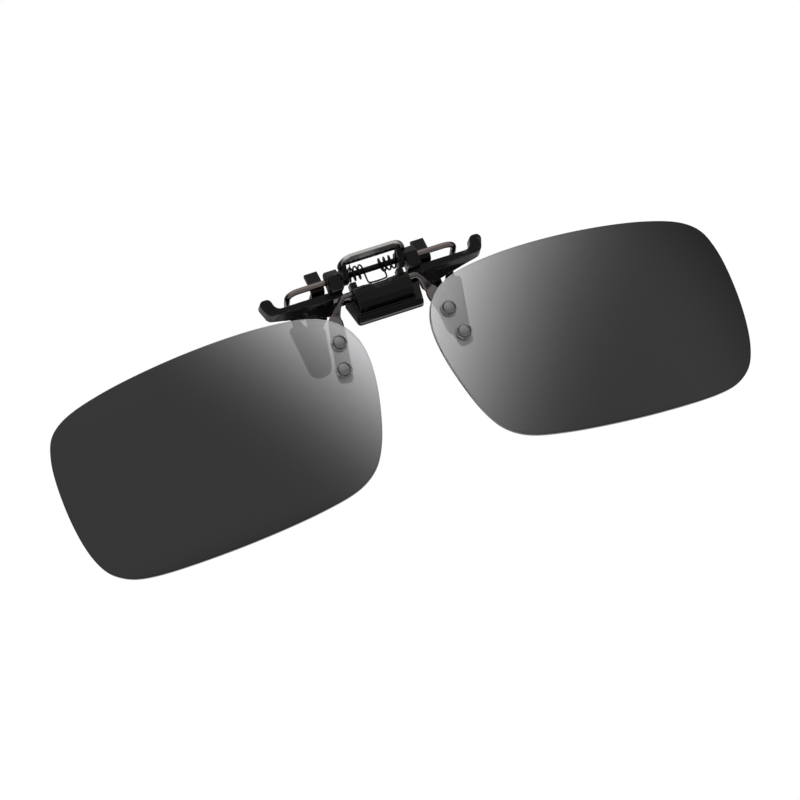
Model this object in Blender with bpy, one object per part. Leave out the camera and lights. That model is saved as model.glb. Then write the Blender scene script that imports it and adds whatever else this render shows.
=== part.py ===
# Flip-up clip-on sunglasses: a sprung metal clip that grips a pair of glasses,
# with two rimless tinted lenses hung on one wire that turns in the clip's barrel.
# Metres, +Z up, +X to the viewer's right as the lenses are seen from the front, +Y towards the wearer.
# The origin is the middle of the clip's flat rear face, which lies against the glasses.

import math

import bmesh
import bpy
from mathutils import Matrix, Vector

# Driving sizes: lenses
LENS_WIDTH = 0.0580
LENS_HEIGHT = 0.0353
LENS_THICKNESS = 0.0008
LENS_HALF_GAP = 0.00627
LENS_RISE = 0.00165
LENS_FORWARD = 0.0010
LENS_CURVE_RADIUS = 0.138
LENS_WRAP = math.radians(12.0)
LENS_POINTS = 80
LENS_RING_SHARES = (0.0, 0.45, 0.8, 1.0)
LENS_CENTRE_X = LENS_HALF_GAP + LENS_WIDTH / 2.0
LENS_DROP = LENS_HEIGHT / 2.0 - LENS_RISE

# Driving sizes: rivets and washers that hold a lens on its strap
RIVET_HEAD_RADIUS = 0.00122
RIVET_HEAD_HEIGHT = 0.00075
RIVET_SHANK_RADIUS = 0.00050
RIVET_TAIL_RADIUS = 0.00085
RIVET_TAIL_HEIGHT = 0.00040
RIVET_TAIL_CROWN_SHARE = 0.7
RIVET_DOME_STEPS = 4
RIVET_INSET = 0.00430
RIVET_BELOW_TOP = 0.00787
RIVET_PITCH = 0.00480
RIVET_SLANT = 0.00045
WASHER_RADIUS = 0.00150
WASHER_THICKNESS = 0.00025

# Driving sizes: the wire bridge and its flattened straps
WIRE_RADIUS = 0.00050
STRAP_WIDTH = 0.00275
STRAP_THICKNESS = 0.00070
STRAP_ABOVE = 0.00440
STRAP_BELOW = 0.00210
STRAP_CORNER_RADIUS = 0.00090
CAM_HALF_LENGTH = 0.00120
CAM_HALF_SIZE = 0.00042
WIRE_SIDES = 12
ROUND_SECTION = 2.0
FLAT_SECTION = 4.0
SQUARE_SECTION = 5.0

# Driving sizes: hinge axes, measured from the origin
FLIP_Y = -0.00470
FLIP_Z = 0.00110
JAW_Y = -0.00300
JAW_Z = 0.00490

# Driving sizes: arm plate with its hooks and lugs
ARM_REACH = 0.02070
HOOK_TOP = 0.00530
ARM_DEPTH = 0.00250
LUG_INNER = 0.00600
LUG_OUTER = 0.00830
LUG_BOTTOM = 0.00255
LUG_TOP = 0.00650
LUG_FRONT = -0.00500
LUG_BACK = -0.00160

# Driving sizes: hinge block with its barrel and lower finger tab
BARREL_HALF_WIDTH = 0.00510
BARREL_TOP = 0.00200
BARREL_FRONT = -0.00640
TAB_TOP_HALF_WIDTH = 0.00680
TAB_BOTTOM_HALF_WIDTH = 0.00600
TAB_TOP = -0.00020
TAB_BOTTOM = -0.00460
TAB_THICKNESS = 0.00120
LIP_HALF_WIDTH = 0.00585
SHOULDER_INNER = 0.00370
SHOULDER_OUTER = 0.00490
SHOULDER_TOP = 0.00310
NOTCH_HALF_WIDTH = 0.00140
GROOVE_HALF_WIDTH = 0.00260
GROOVE_DEPTH = 0.00035

# Driving sizes: rivets that join the hinge block to the arm plate
BODY_RIVET_SHARE = 0.16
BODY_RIVET_Z = -0.00120
BODY_RIVET_RADIUS = 0.00050
BODY_RIVET_HEAD_RADIUS = 0.00095
BODY_RIVET_HEAD_HEIGHT = 0.00045
BODY_RIVET_DEPTH = 0.00100
BODY_RIVET_X = ARM_REACH * BODY_RIVET_SHARE

# Driving sizes: sprung rear jaw, its rod, plate, lever and sleeves
ROD_RADIUS = 0.00056
HOOK_TO_ROD_BEND = 0.00765
HOOK_TO_JAW = 0.00550
JAW_SHEET = 0.00080
JAW_LEG_INNER = 0.00860
JAW_LEG_OUTER = 0.01110
PRONG_BOTTOM = -0.00820
SLEEVE_OVERHANG = 0.00070
SLEEVE_THICKNESS = 0.00200
ROD_STRAIGHT = ARM_REACH - HOOK_TO_ROD_BEND
JAW_REACH = ARM_REACH - HOOK_TO_JAW
SLEEVE_REACH = JAW_REACH + SLEEVE_OVERHANG
SLEEVE_BOTTOM = PRONG_BOTTOM - SLEEVE_OVERHANG
LEVER_SHEET = 0.00060
LEVER_HALF_WIDTH = 0.00620
LEVER_FLANGE = 0.00120
LEVER_FRONT_Y = -0.00830
LEVER_REAR_Y = -0.00540
LEVER_FRONT_Z = 0.00680
LEVER_REAR_Z = 0.00640
EAR_INNER = 0.00460
EAR_OUTER = 0.00570
EAR_RADIUS = 0.00155

# Driving sizes: torsion spring
SPRING_WIRE_RADIUS = 0.00020
SPRING_COIL_RADIUS = 0.00125
SPRING_OUTER = 0.00420
SPRING_INNER = 0.00160
SPRING_FOOT = 0.00185
SPRING_FOOT_Y = -0.00490
SPRING_TIP_Y = -0.00700
SPRING_BEND_RADIUS = 0.00030
SPRING_WHOLE_TURNS = 2
SPRING_POINTS_PER_TURN = 10

# Clearances and overruns
GAP = 0.00015
RUNNING_GAP = 0.00010
OVERRUN = 0.00100
MERGE_DISTANCE = 0.000001
ARC_STEP = math.radians(22.5)
ROUND_SIDES = 20
BORE_SIDES = 20

# Lens outline: shares of half the width (outwards) and half the height (up), counter-clockwise
LENS_OUTLINE_SHARES = [
    (0.982, -0.065), (0.962, 0.486), (0.854, 0.774), (0.550, 0.913),
    (0.020, 0.980), (-0.490, 0.961), (-0.819, 0.847), (-0.979, 0.563),
    (-0.995, 0.106), (-0.891, -0.518), (-0.730, -0.834), (-0.425, -0.962),
    (0.087, -1.013), (0.598, -0.973), (0.827, -0.842), (0.937, -0.563),
]

# Wire bridge from barrel to strap: shares of the run from the barrel's mouth to the strap's top,
# across, back and down
WIRE_BEND_SHARES = [(0.28, 0.12, 0.06), (0.60, 0.50, 0.34), (0.86, 0.96, 0.72)]

# Where along that bend the wire starts to flatten, how much wider it is than the wire at its end
# and how fast it thins, and the strap's stations below, with its width at the first one
FLATTEN_SHARE = 0.45
SPREAD_SHARE = 0.70
THIN_SHARE = 1.4
STRAP_RUN_SHARES = (0.0, 0.08, 0.25, 0.45, 0.65)
STRAP_END_SHARES = (0.0, 0.35, 0.65, 0.87, 0.98)
STRAP_FIRST_SHARE = 0.90

# Arm plate, right half from the bottom middle: shares of the reach and of the hook's height,
# with each corner's radius as a share of the hook's height
ARM_OUTLINE_SHARES = [
    (0.225, -0.380, 0.08), (0.225, 0.290, 0.08), (0.370, 0.330, 0.00), (0.385, 0.335, 0.00),
    (0.850, 0.415, 0.00),
    (0.952, 0.420, 0.20), (1.006, 1.010, 0.195), (0.888, 1.010, 0.18), (0.872, 0.590, 0.28),
    (0.600, 0.600, 0.00), (0.290, 0.600, 0.05), (0.290, 0.370, 0.05),
]

# How much lower the arm's lower edge lies at the rear than at the front: shares of the reach
# and of the hook's height; no point of the outline above the last share drops
ARM_SLOPE_SHARES = [(0.370, 0.0), (0.385, 0.46), (0.950, 0.05), (1.010, 0.0)]
ARM_SLOPE_TOP_SHARE = 0.5

# Lug profile, seen along X: shares of its depth from the front and of its height from the bottom
LUG_PROFILE_SHARES = [
    (0.00, 0.00, 0.05), (0.00, 0.66, 0.04), (0.36, 1.00, 0.10), (0.80, 1.00, 0.15),
    (1.00, 0.70, 0.15), (1.00, 0.00, 0.00),
]

# Barrel profile, seen along X: shares of the depth in front of the arm plate (forwards)
# and of the height above (up) or below the origin, with corner radii as shares of the depth
BARREL_PROFILE_SHARES = [
    (0.04, 1.00, 0.03), (1.00, 1.00, 0.42), (1.00, -0.95, 0.48), (0.70, -1.40, 0.10),
    (0.58, -1.80, 0.00), (0.13, -0.20, 0.05), (0.04, -0.10, 0.0),
]

# Lip along the finger tab's lower edge, as the barrel's profile
LIP_PROFILE_SHARES = [(0.60, -1.55, 0.0), (0.98, -1.74, 0.05), (0.88, -2.36, 0.06), (0.62, -2.36, 0.0)]

# Finger tab, seen along X: shares of that depth at its top and at its bottom
TAB_LEAN_SHARES = (0.32, 0.68)

# Rear plate, right half: shares of the jaw's reach and of the prong's depth below the origin,
# with corner radii as shares of the reach
JAW_PLATE_SHARES = [
    (0.56, 0.195, 0.02), (0.585, 0.030, 0.02), (0.680, -0.150, 0.03), (0.765, -1.00, 0.070),
    (0.915, -1.00, 0.085), (0.985, -0.060, 0.04), (0.990, 0.290, 0.03), (0.905, 0.290, 0.02),
    (0.890, 0.150, 0.01), (0.830, -0.060, 0.01), (0.822, 0.150, 0.01), (0.800, 0.385, 0.03),
    (0.520, 0.385, 0.00),
]

# Corners of that outline that a sleeve's pocket follows, with how many gaps outwards and down it lies
PRONG_POCKET = [(0, -1, 0), (2, -1, 0), (3, -1, 1), (4, 1, 1), (5, 1, 0), (6, 1, 0)]

# Side profile of the rear plate, as shares of the prong's depth: back from the origin and up
JAW_PROFILE_SHARES = [(0.205, 0.430), (0.317, 0.300), (0.396, 0.037), (0.640, -1.040)]

# Side profile of the legs that rise from the rear plate behind the rod, ended by a short tab,
# as shares of the prong's depth: back from the origin and up
JAW_LEG_SHARES = [
    (-0.110, 0.940, 0.0), (-0.222, 0.634, 0.09), (-0.183, 0.490, 0.09),
    (0.146, 0.480, 0.14), (0.317, 0.300, 0.14), (0.360, 0.160, 0.0),
]

# Sleeve outline, right side: shares of the sleeve's reach and depth, radii as shares of the reach
SLEEVE_OUTLINE_SHARES = [
    (1.000, 0.105, 0.045), (0.623, -0.120, 0.045), (0.695, -1.00, 0.107), (0.910, -1.00, 0.107),
]

# Lever ear, seen along X: shares of the ear's radius around the rod, forwards negative and up
EAR_PROFILE_SHARES = [
    (-2.20, 1.00, 0.10), (-0.95, 0.70, 0.40), (0.98, 0.98, 0.95), (0.98, -0.98, 0.95), (-0.80, -0.98, 0.80),
]

# Thumb pad section, right half from the middle of the underside round to the middle of the top:
# shares of the half width, of the sheet's thickness and of the side flange's extra depth
PAD_SECTION_SHARES = [
    (0.00, 1.0, 0.0), (0.84, 1.0, 0.0), (0.89, 1.1, 0.4), (0.90, 1.3, 1.0), (0.99, 1.3, 1.0),
    (1.00, 0.9, 0.5), (0.985, 0.55, 0.2), (0.95, 0.25, 0.0), (0.90, 0.08, 0.0), (0.82, 0.0, 0.0),
    (0.00, 0.0, 0.0),
]

# Thumb pad from above: shares of its depth, back from its front edge, and of its half width
PAD_PLAN_SHARES = [
    (0.0, 0.74), (0.05, 0.81), (0.14, 0.87), (0.32, 0.93), (0.62, 0.98), (0.90, 1.00), (1.0, 0.98),
]

# Rod end: shares of the reach past its straight length, back to the rear plate and down
ROD_END_SHARES = [
    (0.40, 0.01, 0.01), (0.78, 0.07, 0.05), (0.97, 0.21, 0.11), (1.00, 0.42, 0.20),
    (0.97, 0.74, 0.35), (0.88, 0.90, 0.66), (0.82, 1.00, 1.00),
]
ROD_END_REACH = 0.00235
ROD_END_BACK = 0.00470
ROD_END_DROP = 0.00310


def clear_scene():
    for item in list(bpy.data.objects):
        bpy.data.objects.remove(item, do_unlink=True)


def material(name, colour, roughness, metallic=0.0, transmission=0.0):
    made = bpy.data.materials.new(name)
    made.use_nodes = True
    shader = made.node_tree.nodes["Principled BSDF"]
    shader.inputs["Base Color"].default_value = (*colour, 1.0)
    shader.inputs["Roughness"].default_value = roughness
    shader.inputs["Metallic"].default_value = metallic
    shader.inputs["Transmission Weight"].default_value = transmission
    made.diffuse_color = (*colour, 1.0)
    return made


def link(name, mesh, finish, hinge=None):
    """Add a mesh as a named piece; a moving piece hangs on its hinge's empty."""
    piece = bpy.data.objects.new(name, mesh)
    bpy.context.collection.objects.link(piece)
    mesh.materials.clear()
    mesh.materials.append(finish)
    if hinge is not None:
        piece.parent = hinge
        piece.location = -hinge.location
    return piece


def hinge_empty(name, y, z):
    empty = bpy.data.objects.new(name, None)
    empty.location = (0.0, y, z)
    bpy.context.collection.objects.link(empty)
    return empty


def mesh_from(bm, name, sharp_angle=math.radians(35.0)):
    bmesh.ops.recalc_face_normals(bm, faces=bm.faces)
    mesh = bpy.data.meshes.new(name)
    bm.to_mesh(mesh)
    bm.free()
    mesh.shade_smooth()
    mesh.set_sharp_from_angle(angle=sharp_angle)
    return mesh


def corner_arc(before, corner, after, radius):
    """Points of the arc that rounds one corner of a flat outline."""
    back = (before - corner).normalized()
    ahead = (after - corner).normalized()
    half = back.angle(ahead) / 2.0
    reach = radius / math.tan(half)
    reach = min(reach, (before - corner).length / 2.0, (after - corner).length / 2.0)
    radius = reach * math.tan(half)
    centre = corner + (back + ahead).normalized() * (radius / math.sin(half))
    start = corner + back * reach - centre
    turn = start.angle_signed(corner + ahead * reach - centre)
    steps = max(1, math.ceil(abs(turn) / ARC_STEP))
    return [centre + Matrix.Rotation(-turn * step / steps, 2) @ start for step in range(steps + 1)]


def rounded(corners, closed=True):
    """Outline through (a, b, radius) corners, each one rounded by its own radius."""
    places = [Vector((a, b)) for a, b, radius in corners]
    count = len(places)
    points = []
    for index, (a, b, radius) in enumerate(corners):
        at_end = not closed and index in (0, count - 1)
        if radius == 0.0 or at_end:
            points.append(places[index])
        else:
            before, after = places[index - 1], places[(index + 1) % count]
            points.extend(corner_arc(before, places[index], after, radius))
    return points


def mirrored(half):
    """Whole outline from its right half, listed from the bottom middle round to the top middle."""
    return half + [Vector((-point.x, point.y)) for point in reversed(half[1:-1])]


def smooth_loop(points, count):
    """Evenly shared points of a closed Catmull-Rom curve through the given points."""
    total = len(points)
    loop = []
    for step in range(count):
        place = step * total / count
        index = int(place)
        share = place - index
        p0, p1, p2, p3 = (points[(index + shift) % total] for shift in (-1, 0, 1, 2))
        loop.append(catmull_rom(p0, p1, p2, p3, share))
    return loop


def catmull_rom(p0, p1, p2, p3, share):
    a = p1 * 2.0
    b = p2 - p0
    c = p0 * 2.0 - p1 * 5.0 + p2 * 4.0 - p3
    d = p1 * 3.0 - p0 - p2 * 3.0 + p3
    return (a + b * share + c * share ** 2 + d * share ** 3) / 2.0


def smooth_run(points, steps):
    """Points of an open Catmull-Rom curve, with so many steps between neighbours."""
    ends = [points[0] * 2.0 - points[1]] + points + [points[-1] * 2.0 - points[-2]]
    run = []
    for index in range(len(points) - 1):
        for step in range(steps):
            run.append(catmull_rom(*ends[index:index + 4], step / steps))
    run.append(points[-1])
    return run


def prism(outline, place, low, high):
    """Solid between two copies of a flat outline; place(a, b, depth) gives a point in space."""
    bm = bmesh.new()
    rings = [[bm.verts.new(place(p.x, p.y, depth)) for p in outline] for depth in (low, high)]
    count = len(outline)
    for index in range(count):
        after = (index + 1) % count
        bm.faces.new((rings[0][index], rings[0][after], rings[1][after], rings[1][index]))
    bm.faces.new(rings[0])
    bm.faces.new(rings[1])
    return bm


def along_x(a, b, depth):
    return Vector((depth, a, b))


def along_y(a, b, depth):
    return Vector((a, depth, b))


def profile_point(profile, height):
    """Point and offset direction of a folded sheet's middle at one height."""
    normals = []
    for index in range(len(profile) - 1):
        run = profile[index + 1] - profile[index]
        normals.append(Vector((-run.y, run.x)).normalized())
    offsets = [normals[0]]
    for first, second in zip(normals, normals[1:]):
        middle = (first + second).normalized()
        offsets.append(middle / middle.dot(first))
    offsets.append(normals[-1])
    for index in range(len(profile) - 1):
        top, bottom = profile[index], profile[index + 1]
        if height >= bottom.y or index == len(profile) - 2:
            share = (height - top.y) / (bottom.y - top.y)
            return top.lerp(bottom, share), offsets[index].lerp(offsets[index + 1], share)
    return profile[-1], offsets[-1]


def folded_sheet(outline, profile, low, high):
    """Plate cut to a front-view outline and folded to a side profile that runs from top to bottom."""
    bm = prism(outline, along_y, low, high)
    for fold in profile[1:-1]:
        everything = list(bm.verts) + list(bm.edges) + list(bm.faces)
        bmesh.ops.bisect_plane(bm, geom=everything, plane_co=(0.0, 0.0, fold.y), plane_no=(0.0, 0.0, 1.0))
    for vertex in bm.verts:
        middle, offset = profile_point(profile, vertex.co.z)
        depth = vertex.co.y
        vertex.co = (vertex.co.x, middle.x + offset.x * depth, middle.y + offset.y * depth)
    return bm


def folded_strip(path, low, high, thickness):
    """Flat strip between two X places, folded along a path seen from the side."""
    bm = bmesh.new()
    rings = []
    for index, point in enumerate(path):
        before = path[max(index - 1, 0)]
        after = path[min(index + 1, len(path) - 1)]
        first = (point - before).normalized() if index else (after - point).normalized()
        second = (after - point).normalized() if index < len(path) - 1 else first
        along = (first + second).normalized()
        side = Vector((-along.y, along.x)) * (thickness / 2.0 / max(along.dot(first), 0.5))
        corners = [(low, point + side), (high, point + side), (high, point - side), (low, point - side)]
        rings.append([bm.verts.new((x, corner.x, corner.y)) for x, corner in corners])
    for first, second in zip(rings, rings[1:]):
        for index in range(4):
            after = (index + 1) % 4
            bm.faces.new((first[index], first[after], second[after], second[index]))
    bm.faces.new(rings[0])
    bm.faces.new(rings[-1])
    return bm


def loft(sections):
    """Closed solid through a row of rings of points."""
    bm = bmesh.new()
    rings = [[bm.verts.new(point) for point in section] for section in sections]
    count = len(rings[0])
    for first, second in zip(rings, rings[1:]):
        for index in range(count):
            after = (index + 1) % count
            bm.faces.new((first[index], first[after], second[after], second[index]))
    bm.faces.new(rings[0])
    bm.faces.new(rings[-1])
    return bm


def turned(profile, sides):
    """Round solid about Z from (radius, z) points; the first and last lie on the axis."""
    bm = bmesh.new()
    rings = []
    for radius, height in profile:
        if radius == 0.0:
            rings.append([bm.verts.new((0.0, 0.0, height))])
        else:
            turn = [2.0 * math.pi * side / sides for side in range(sides)]
            rings.append([bm.verts.new((radius * math.cos(t), radius * math.sin(t), height)) for t in turn])
    for first, second in zip(rings, rings[1:]):
        for side in range(sides):
            after = (side + 1) % sides
            if len(first) == 1:
                bm.faces.new((first[0], second[side], second[after]))
            elif len(second) == 1:
                bm.faces.new((first[side], first[after], second[0]))
            else:
                bm.faces.new((first[side], first[after], second[after], second[side]))
    return bm


def turned_ring(inner, outer, low, high, sides):
    """Flat round washer about Z."""
    bm = bmesh.new()
    rings = []
    for radius, height in ((inner, low), (outer, low), (outer, high), (inner, high)):
        turn = [2.0 * math.pi * side / sides for side in range(sides)]
        rings.append([bm.verts.new((radius * math.cos(t), radius * math.sin(t), height)) for t in turn])
    for index in range(4):
        first, second = rings[index], rings[(index + 1) % 4]
        for side in range(sides):
            after = (side + 1) % sides
            bm.faces.new((first[side], first[after], second[after], second[side]))
    return bm


def rod_between(start, end, radius, sides):
    """Round bar between two points, used as a pin or a cutter."""
    run = end - start
    bm = turned([(0.0, 0.0), (radius, 0.0), (radius, run.length), (0.0, run.length)], sides)
    turn = run.to_track_quat("Z", "Y").to_matrix().to_4x4()
    bmesh.ops.transform(bm, matrix=Matrix.Translation(start) @ turn, verts=bm.verts)
    return bm


def bore(start, end, radius):
    """Cutter for a hole that a bar of one radius fits with its running gap."""
    return rod_between(start, end, radius + RUNNING_GAP, BORE_SIDES)


def axle_bore(y, z, reach, radius):
    """Cutter for a hole along X that reaches equally far to both sides."""
    return bore(Vector((-reach, y, z)), Vector((reach, y, z)), radius)


def block(low, high):
    bm = bmesh.new()
    bmesh.ops.create_cube(bm, size=1.0)
    low, high = Vector(low), Vector(high)
    for vertex in bm.verts:
        for axis in range(3):
            vertex.co[axis] = high[axis] if vertex.co[axis] > 0.0 else low[axis]
    return bm


def combine(base, tool, operation):
    """Join or cut one solid with another and give the resulting mesh geometry."""
    pieces = []
    for name, bm in (("base", base), ("tool", tool)):
        mesh = mesh_from(bm, name)
        piece = bpy.data.objects.new(name, mesh)
        bpy.context.collection.objects.link(piece)
        pieces.append(piece)
    modifier = pieces[0].modifiers.new("combine", "BOOLEAN")
    modifier.operation = operation
    modifier.object = pieces[1]
    modifier.solver = "EXACT"
    bpy.context.view_layer.update()
    evaluated = pieces[0].evaluated_get(bpy.context.evaluated_depsgraph_get())
    result = bmesh.new()
    result.from_mesh(evaluated.to_mesh())
    evaluated.to_mesh_clear()
    for piece in pieces:
        mesh = piece.data
        bpy.data.objects.remove(piece, do_unlink=True)
        bpy.data.meshes.remove(mesh)
    bmesh.ops.remove_doubles(result, verts=result.verts, dist=MERGE_DISTANCE)
    return result


def tube(name, points, radius, resolution, finish, hinge=None):
    """Round wire along points, as a curve with filled ends."""
    curve = bpy.data.curves.new(name, "CURVE")
    curve.dimensions = "3D"
    curve.bevel_depth = radius
    curve.bevel_resolution = resolution
    curve.use_fill_caps = True
    spline = curve.splines.new("POLY")
    spline.points.add(len(points) - 1)
    for knot, point in zip(spline.points, points):
        knot.co = (*point, 1.0)
    spline.use_smooth = True
    piece = bpy.data.objects.new(name, curve)
    bpy.context.collection.objects.link(piece)
    curve.materials.append(finish)
    if hinge is not None:
        piece.parent = hinge
        piece.location = -hinge.location
    return piece


def lens_point(side, out, up, back):
    """Place in space of a point of a lens: out from its middle, up, and back from its front face."""
    sag = (out ** 2 + up ** 2) / (2.0 * LENS_CURVE_RADIUS) + back
    across = LENS_CENTRE_X + out * math.cos(LENS_WRAP) - sag * math.sin(LENS_WRAP)
    deep = -LENS_FORWARD + out * math.sin(LENS_WRAP) + sag * math.cos(LENS_WRAP)
    return Vector((side * across, deep, up - LENS_DROP))


def lens_normal(side, out, up):
    """Direction straight back through the lens at one point."""
    step = LENS_THICKNESS
    here = lens_point(side, out, up, 0.0)
    across = lens_point(side, out + step, up, 0.0) - here
    upward = lens_point(side, out, up + step, 0.0) - here
    normal = across.cross(upward)
    return normal.normalized() if normal.y > 0.0 else -normal.normalized()


def rivet_places():
    """The two rivets of a lens: how far from its middle they lie, inwards negative, and how high."""
    middle = RIVET_INSET - LENS_WIDTH / 2.0
    high = LENS_HEIGHT / 2.0 - RIVET_BELOW_TOP
    return {"upper": (middle - RIVET_SLANT, high), "lower": (middle + RIVET_SLANT, high - RIVET_PITCH)}


def strap_ends():
    """Heights of the strap's top and bottom, from the lens's middle."""
    places = rivet_places()
    return places["upper"][1] + STRAP_ABOVE, places["lower"][1] - STRAP_BELOW


def strap_out(up):
    """Middle line of a strap, on the line through both rivets."""
    high_out, high = rivet_places()["upper"]
    low_out, low = rivet_places()["lower"]
    return high_out + (low_out - high_out) * (high - up) / (high - low)


def rivet_hole(side, out, up):
    """Cutter for one rivet's hole through lens and strap."""
    here = lens_point(side, out, up, 0.0)
    normal = lens_normal(side, out, up)
    reach = LENS_THICKNESS + STRAP_THICKNESS + OVERRUN
    return bore(here - normal * OVERRUN, here + normal * reach, RIVET_SHANK_RADIUS)


def make_lens(side, name, finish, hinge):
    half = [Vector((out * LENS_WIDTH / 2.0, up * LENS_HEIGHT / 2.0)) for out, up in LENS_OUTLINE_SHARES]
    outline = smooth_loop(half, LENS_POINTS)
    bm = bmesh.new()
    skins = []
    for back in (0.0, LENS_THICKNESS):
        rings = []
        for share in LENS_RING_SHARES:
            if share == 0.0:
                rings.append([bm.verts.new(lens_point(side, 0.0, 0.0, back))])
            else:
                ring = [lens_point(side, p.x * share, p.y * share, back) for p in outline]
                rings.append([bm.verts.new(point) for point in ring])
        skins.append(rings)
        for first, second in zip(rings, rings[1:]):
            for index in range(LENS_POINTS):
                after = (index + 1) % LENS_POINTS
                if len(first) == 1:
                    bm.faces.new((first[0], second[index], second[after]))
                else:
                    bm.faces.new((first[index], first[after], second[after], second[index]))
    front, rear = skins[0][-1], skins[1][-1]
    for index in range(LENS_POINTS):
        after = (index + 1) % LENS_POINTS
        bm.faces.new((front[index], front[after], rear[after], rear[index]))
    for out, up in rivet_places().values():
        bm = combine(bm, rivet_hole(side, out, up), "DIFFERENCE")
    return link(name, mesh_from(bm, name), finish, hinge)


def seat_matrix(side, out, up):
    """Frame on the lens front at a rivet, with Z straight back through the lens."""
    turn = lens_normal(side, out, up).to_track_quat("Z", "Y").to_matrix().to_4x4()
    return Matrix.Translation(lens_point(side, out, up, 0.0)) @ turn


def make_rivet(side, level, name, finish, hinge):
    out, up = rivet_places()[level]
    seat = -(WASHER_THICKNESS + 2.0 * RUNNING_GAP)
    tail = LENS_THICKNESS + 2.0 * GAP + STRAP_THICKNESS + RUNNING_GAP
    dome = []
    for step in range(RIVET_DOME_STEPS + 1):
        turn = math.pi / 2.0 * step / RIVET_DOME_STEPS
        dome.append((RIVET_HEAD_RADIUS * math.sin(turn), seat - RIVET_HEAD_HEIGHT * math.cos(turn)))
    stem = [(RIVET_SHANK_RADIUS, seat), (RIVET_SHANK_RADIUS, tail), (RIVET_TAIL_RADIUS, tail)]
    crown = RIVET_TAIL_RADIUS * RIVET_TAIL_CROWN_SHARE
    close = [(crown, tail + RIVET_TAIL_HEIGHT), (0.0, tail + RIVET_TAIL_HEIGHT)]
    bm = turned(dome + stem + close, ROUND_SIDES)
    bmesh.ops.transform(bm, matrix=seat_matrix(side, out, up), verts=bm.verts)
    return link(name, mesh_from(bm, name), finish, hinge)


def make_washer(side, level, name, finish, hinge):
    out, up = rivet_places()[level]
    inner = RIVET_SHANK_RADIUS + RUNNING_GAP
    bm = turned_ring(inner, WASHER_RADIUS, -WASHER_THICKNESS - RUNNING_GAP, -RUNNING_GAP, ROUND_SIDES)
    bmesh.ops.transform(bm, matrix=seat_matrix(side, out, up), verts=bm.verts)
    return link(name, mesh_from(bm, name), finish, hinge)


def wire_stations():
    """Middle line of the wire's right half, with each station's half width, half thickness,
    squareness and the direction that its thickness faces."""
    backward = Vector((0.0, 1.0, 0.0))
    axis = Vector((0.0, FLIP_Y, FLIP_Z))
    stations = []
    for across in (0.0, CAM_HALF_LENGTH / 2.0, CAM_HALF_LENGTH):
        place = axis + Vector((across, 0.0, 0.0))
        stations.append((place, CAM_HALF_SIZE, CAM_HALF_SIZE, SQUARE_SECTION, backward))
    mouth = TAB_TOP_HALF_WIDTH - WIRE_RADIUS
    for across in (CAM_HALF_LENGTH + WIRE_RADIUS / 2.0, BARREL_HALF_WIDTH / 2.0, BARREL_HALF_WIDTH, mouth):
        place = axis + Vector((across, 0.0, 0.0))
        stations.append((place, WIRE_RADIUS, WIRE_RADIUS, ROUND_SECTION, backward))
    return stations + bend_stations(stations[-1][0], backward) + strap_stations()


def strap_place(up):
    """Point on the strap's middle line behind the right lens, and the direction it faces."""
    behind = LENS_THICKNESS + GAP + STRAP_THICKNESS / 2.0
    out = strap_out(up)
    return lens_point(1, out, up, behind), lens_normal(1, out, up)


def bend_stations(start, backward):
    """The wire's bend from the barrel's mouth down to the strap, where it flattens."""
    top, normal = strap_place(strap_ends()[0])
    run = top - start
    guide = [start]
    for across, back, down in WIRE_BEND_SHARES:
        guide.append(start + Vector((run.x * across, run.y * back, run.z * down)))
    curve = smooth_run(guide + [top], 4)[1:-1]
    stations = []
    for index, place in enumerate(curve):
        share = (index + 1) / len(curve)
        flat = max(0.0, share - FLATTEN_SHARE) / (1.0 - FLATTEN_SHARE)
        half_width = WIRE_RADIUS + (STRAP_WIDTH / 2.0 - WIRE_RADIUS) * flat * SPREAD_SHARE
        half_thickness = WIRE_RADIUS + (STRAP_THICKNESS / 2.0 - WIRE_RADIUS) * min(1.0, flat * THIN_SHARE)
        section = ROUND_SECTION + (FLAT_SECTION - ROUND_SECTION) * flat
        stations.append((place, half_width, half_thickness, section, backward.lerp(normal, share)))
    return stations


def strap_stations():
    """The flat strap behind the lens, with its round lower end."""
    top, bottom = strap_ends()
    length = top - bottom
    end_share = STRAP_CORNER_RADIUS / length
    shares = list(STRAP_RUN_SHARES) + [1.0 - end_share * (1.0 - share) for share in STRAP_END_SHARES]
    stations = []
    for share in shares:
        place, normal = strap_place(top - length * share)
        past = max(0.0, (share - 1.0 + end_share) / end_share)
        half_width = STRAP_WIDTH / 2.0 * (1.0 if share else STRAP_FIRST_SHARE)
        half_width -= STRAP_CORNER_RADIUS * (1.0 - math.sqrt(1.0 - past ** 2))
        stations.append((place, half_width, STRAP_THICKNESS / 2.0, FLAT_SECTION, normal))
    return stations


def wire_ring(place, along, half_width, half_thickness, squareness, facing):
    """Ring of points of one wire section: round at squareness 2, squarer above."""
    deep = (facing - along * facing.dot(along)).normalized()
    wide = along.cross(deep).normalized()
    ring = []
    for side in range(WIRE_SIDES):
        turn = 2.0 * math.pi * (side + 0.5) / WIRE_SIDES
        cosine, sine = math.cos(turn), math.sin(turn)
        a = math.copysign(abs(cosine) ** (2.0 / squareness), cosine) * half_width
        b = math.copysign(abs(sine) ** (2.0 / squareness), sine) * half_thickness
        ring.append(place + wide * a + deep * b)
    return ring


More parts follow.
